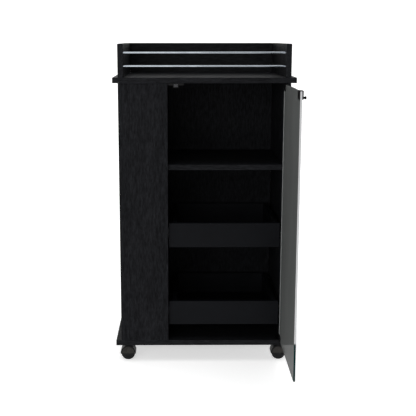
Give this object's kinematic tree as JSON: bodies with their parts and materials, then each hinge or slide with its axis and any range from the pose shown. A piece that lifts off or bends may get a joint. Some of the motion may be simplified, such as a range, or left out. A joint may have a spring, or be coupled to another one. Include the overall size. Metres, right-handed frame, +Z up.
{
  "type": "kitchen island cart",
  "caption": "Narrow black bar cart on swivel casters with a railed top, an open glass door, a shelf, pull-out trays and open side shelves.",
  "frame": {"origin": "on the floor, in the middle of the object's box as pictured, with the door standing open at a right angle", "axes": "+Z up, -Y out of the cabinet's front, +X towards the hinge side of the door"},
  "size_m": [0.5, 0.679, 0.9],
  "materials": {
    "panel": "black stained open-pore wood-grain laminate, satin",
    "tray": "smooth black lacquered board, satin",
    "chrome": "polished",
    "glass": "dark smoked toughened glass with polished edges",
    "black_metal": "black satin",
    "steel": "black zinc plated, satin",
    "zinc": "zinc plated",
    "plastic": "moulded, fine texture",
    "wheel": "moulded, lightly worn",
    "nylon": "natural nylon",
    "magnet": "plain ferrite"
  },
  "bodies": {
    "cabinet": {"top_board": "panel", "base_board": "panel", "left_front_panel": "panel", "divider_panel": "panel", "back_panel": "panel", "right_side_panel": "panel", "cabinet_shelf": "panel", "lower_side_shelf": "panel", "upper_side_shelf": "panel", "front_left_shelf_pin": "zinc", "front_right_shelf_pin": "zinc", "rear_left_shelf_pin": "zinc", "rear_right_shelf_pin": "zinc", "gallery_left_panel": "panel", "gallery_right_panel": "panel", "gallery_back_panel": "panel", "gallery_lower_rail": "chrome", "gallery_upper_rail": "chrome", "lower_cabinet_left_runner": "steel", "lower_cabinet_right_runner": "steel", "upper_cabinet_left_runner": "steel", "upper_cabinet_right_runner": "steel", "bottom_pivot_plate": "black_metal", "top_pivot_plate": "black_metal", "catch_housing": "plastic", "catch_magnet": "magnet", "front_left_caster_plate": "black_metal", "front_right_caster_plate": "black_metal", "rear_left_caster_plate": "black_metal", "rear_right_caster_plate": "black_metal"},
    "door": {"glass_door": "glass", "bottom_glass_clamp": "black_metal", "top_glass_clamp": "black_metal", "bottom_clamp_bush": "nylon", "top_clamp_bush": "nylon", "knob_clip": "black_metal", "door_knob": "black_metal"},
    "lower_tray": {"lower_tray_front": "tray", "lower_tray_left_side": "tray", "lower_tray_right_side": "tray", "lower_tray_back": "tray", "lower_tray_floor": "tray", "lower_tray_left_runner": "steel", "lower_tray_right_runner": "steel"},
    "upper_tray": {"upper_tray_front": "tray", "upper_tray_left_side": "tray", "upper_tray_right_side": "tray", "upper_tray_back": "tray", "upper_tray_floor": "tray", "upper_tray_left_runner": "steel", "upper_tray_right_runner": "steel"},
    "front_left_caster": {"front_left_caster_housing": "plastic"},
    "front_left_wheels": {"front_left_caster_wheels": "wheel"},
    "front_right_caster": {"front_right_caster_housing": "plastic"},
    "front_right_wheels": {"front_right_caster_wheels": "wheel"},
    "rear_left_caster": {"rear_left_caster_housing": "plastic"},
    "rear_left_wheels": {"rear_left_caster_wheels": "wheel"},
    "rear_right_caster": {"rear_right_caster_housing": "plastic"},
    "rear_right_wheels": {"rear_right_caster_wheels": "wheel"}
  },
  "joints": [
    {"name": "door_hinge", "type": "hinge", "parent": "cabinet", "child": "door", "pos_m": [0.219, -0.022, 0.43], "axis": [0, 0, 1], "range_deg": [-90, 15]},
    {"name": "lower_tray_slide", "type": "slide", "parent": "cabinet", "child": "lower_tray", "axis": [0, -1, 0], "range_m": [0, 0.23]},
    {"name": "upper_tray_slide", "type": "slide", "parent": "cabinet", "child": "upper_tray", "axis": [0, -1, 0], "range_m": [0, 0.23]},
    {"name": "front_left_swivel", "type": "hinge", "parent": "cabinet", "child": "front_left_caster", "pos_m": [-0.2175, 0.0095, 0.02], "axis": [0, 0, 1], "continuous": true},
    {"name": "front_left_wheel_spin", "type": "hinge", "parent": "front_left_caster", "child": "front_left_wheels", "pos_m": [-0.2175, 0.0095, 0.02], "axis": [0, 1, 0], "continuous": true},
    {"name": "front_right_swivel", "type": "hinge", "parent": "cabinet", "child": "front_right_caster", "pos_m": [0.2175, 0.0095, 0.02], "axis": [0, 0, 1], "continuous": true},
    {"name": "front_right_wheel_spin", "type": "hinge", "parent": "front_right_caster", "child": "front_right_wheels", "pos_m": [0.2175, 0.0095, 0.02], "axis": [0, 1, 0], "continuous": true},
    {"name": "rear_left_swivel", "type": "hinge", "parent": "cabinet", "child": "rear_left_caster", "pos_m": [-0.2175, 0.3045, 0.02], "axis": [0, 0, 1], "continuous": true},
    {"name": "rear_left_wheel_spin", "type": "hinge", "parent": "rear_left_caster", "child": "rear_left_wheels", "pos_m": [-0.2175, 0.3045, 0.02], "axis": [0, 1, 0], "continuous": true},
    {"name": "rear_right_swivel", "type": "hinge", "parent": "cabinet", "child": "rear_right_caster", "pos_m": [0.2175, 0.3045, 0.02], "axis": [0, 0, 1], "continuous": true},
    {"name": "rear_right_wheel_spin", "type": "hinge", "parent": "rear_right_caster", "child": "rear_right_wheels", "pos_m": [0.2175, 0.3045, 0.02], "axis": [0, 1, 0], "continuous": true}
  ]
}
